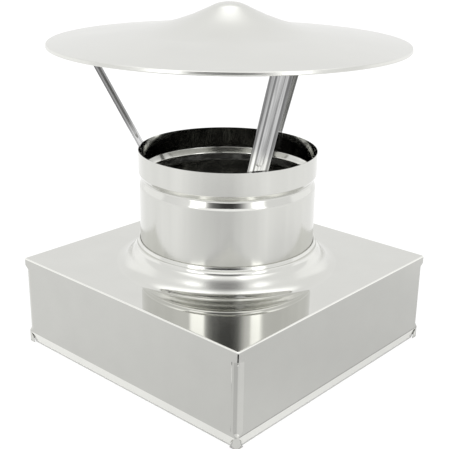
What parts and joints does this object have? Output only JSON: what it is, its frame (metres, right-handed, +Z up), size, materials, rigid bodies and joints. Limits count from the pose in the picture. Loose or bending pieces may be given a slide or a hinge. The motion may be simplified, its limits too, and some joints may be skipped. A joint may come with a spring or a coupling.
{
  "type": "chimney cap",
  "caption": "Polished stainless chimney cap: a square folded hood with a drawn neck, a grooved flue pipe, ribbed strap legs and a spun rain cap.",
  "frame": {"origin": "centre of the hood's foot, on the plane it stands on and on the pipe's axis", "axes": "+Z up along the pipe's axis, X and Y square to the hood's walls"},
  "size_m": [0.39, 0.39, 0.3979],
  "materials": {
    "stainless": "polished"
  },
  "bodies": {
    "root": {"base_hood": "stainless", "flue_pipe": "stainless", "leg_front": "stainless", "leg_rear": "stainless", "leg_left": "stainless", "rain_cap": "stainless"}
  },
  "joints": []
}
